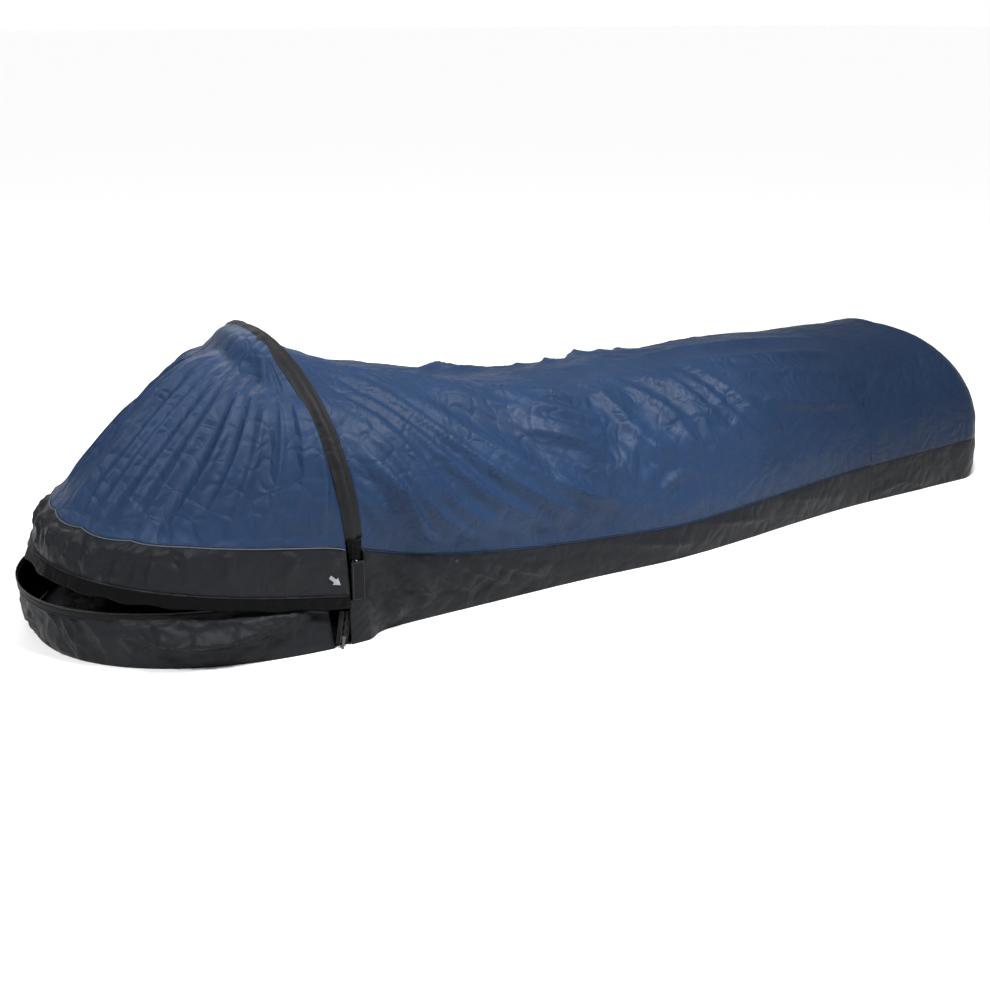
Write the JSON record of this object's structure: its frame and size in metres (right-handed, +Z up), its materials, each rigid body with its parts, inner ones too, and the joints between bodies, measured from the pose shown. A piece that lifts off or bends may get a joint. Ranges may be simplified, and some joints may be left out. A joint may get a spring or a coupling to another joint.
{
  "type": "bivy sack",
  "caption": "One-person bivy sack: dark tub floor and walls, blue top, and a pole-hooped hood with a zip-open mouth that swings back",
  "frame": {"origin": "on the ground under the middle of the sack", "axes": "+X from the head to the feet, +Y to the sleeper's left, +Z up"},
  "size_m": [2.1605, 0.6752, 0.5131],
  "materials": {
    "shell_blue": "coated ripstop nylon, mid blue, slight sheen",
    "shell_charcoal": "coated nylon, charcoal, slight sheen",
    "trim_black": "black woven tape",
    "sleeve_grey": "dark grey tape",
    "pole_alloy": "anodised tent-pole tube",
    "ferrule_alloy": "bright alloy tube",
    "zip_coil": "black nylon coil",
    "slider_metal": "black coated die-cast slider",
    "moulded_black": "moulded black plastic",
    "net_black": "black insect mesh",
    "arrow_white": "reflective film",
    "cord_grey": "elastic cord"
  },
  "bodies": {
    "bag": {"floor_panel": "shell_charcoal", "head_lip": "shell_charcoal", "foot_wall": "shell_charcoal", "shoulder_wall_right": "shell_charcoal", "shoulder_wall_left": "shell_charcoal", "side_wall_right": "shell_charcoal", "side_wall_left": "shell_charcoal", "pole_gusset_right": "shell_charcoal", "pole_gusset_left": "shell_charcoal", "shoulder_panel": "shell_blue", "body_top_panel": "shell_blue", "toe_top_panel": "shell_blue", "pole_cup_right": "moulded_black", "pole_cup_left": "moulded_black", "zip_stop_right": "moulded_black", "zip_stop_left": "moulded_black", "pad_strap_1": "trim_black", "pad_strap_2": "trim_black", "lower_zip_tape": "trim_black", "riser_tape_front_right": "trim_black", "riser_tape_rear_right": "trim_black", "riser_tape_front_left": "trim_black", "riser_tape_rear_left": "trim_black", "lower_zip_coil": "zip_coil", "riser_coil_front_right": "zip_coil", "riser_coil_rear_right": "zip_coil", "riser_coil_front_left": "zip_coil", "riser_coil_rear_left": "zip_coil"},
    "hood": {"hood_canopy": "shell_blue", "hood_band": "shell_charcoal", "storm_flap": "trim_black", "upper_zip_tape": "trim_black", "sleeve_cuff_right": "trim_black", "sleeve_cuff_left": "trim_black", "net_tie_1": "trim_black", "net_tie_2": "trim_black", "upper_zip_coil": "zip_coil", "pole_sleeve": "sleeve_grey", "pole_section_1": "pole_alloy", "pole_section_2": "pole_alloy", "pole_section_3": "pole_alloy", "pole_section_4": "pole_alloy", "pole_ferrule_1": "ferrule_alloy", "pole_ferrule_2": "ferrule_alloy", "pole_ferrule_3": "ferrule_alloy", "pole_tip_right": "moulded_black", "pole_tip_left": "moulded_black", "shock_cord": "cord_grey", "net_roll": "net_black", "exit_arrow": "arrow_white"},
    "pole_tab_body_right": {"pole_tab_right": "trim_black"},
    "zip_slider_body_right": {"zip_slider_right": "slider_metal"},
    "zip_pull_body_right": {"zip_pull_right": "slider_metal"},
    "pole_tab_body_left": {"pole_tab_left": "trim_black"},
    "zip_slider_body_left": {"zip_slider_left": "slider_metal"},
    "zip_pull_body_left": {"zip_pull_left": "slider_metal"},
    "strap_keeper_body_1": {"strap_keeper_1": "moulded_black"},
    "strap_keeper_body_2": {"strap_keeper_2": "moulded_black"}
  },
  "joints": [
    {"name": "hood_swing", "type": "hinge", "parent": "bag", "child": "hood", "pos_m": [-0.58, 0, 0.008], "axis": [0, 1, 0], "range_deg": [0, 45], "deforming": ["shoulder_panel", "shoulder_wall_right", "shoulder_wall_left", "pole_gusset_right", "pole_gusset_left"]},
    {"name": "zip_travel_right", "type": "slide", "parent": "bag", "child": "zip_slider_body_right", "axis": [0.239, 0.1707, 0.9559], "range_m": [0, 0.036]},
    {"name": "pull_swing_right", "type": "hinge", "parent": "zip_slider_body_right", "child": "zip_pull_body_right", "pos_m": [-0.61594, -0.33143, 0.01915], "axis": [-0.971, 0.042, 0.2353], "range_deg": [0, 120]},
    {"name": "tab_peel_right", "type": "hinge", "parent": "hood", "child": "pole_tab_body_right", "pos_m": [-0.567, -0.3245, 0.078], "axis": [0, 0, 1], "range_deg": [0, 120]},
    {"name": "zip_travel_left", "type": "slide", "parent": "bag", "child": "zip_slider_body_left", "axis": [0.239, -0.1707, 0.9559], "range_m": [0, 0.036]},
    {"name": "pull_swing_left", "type": "hinge", "parent": "zip_slider_body_left", "child": "zip_pull_body_left", "pos_m": [-0.61594, 0.33143, 0.01915], "axis": [0.971, 0.042, -0.2353], "range_deg": [0, 120]},
    {"name": "tab_peel_left", "type": "hinge", "parent": "hood", "child": "pole_tab_body_left", "pos_m": [-0.567, 0.3245, 0.078], "axis": [0, 0, -1], "range_deg": [0, 120]},
    {"name": "keeper_travel_1", "type": "slide", "parent": "bag", "child": "strap_keeper_body_1", "axis": [0, 1, 0], "range_m": [-0.3, 0.15]},
    {"name": "keeper_travel_2", "type": "slide", "parent": "bag", "child": "strap_keeper_body_2", "axis": [0, 1, 0], "range_m": [-0.3, 0.15]}
  ]
}
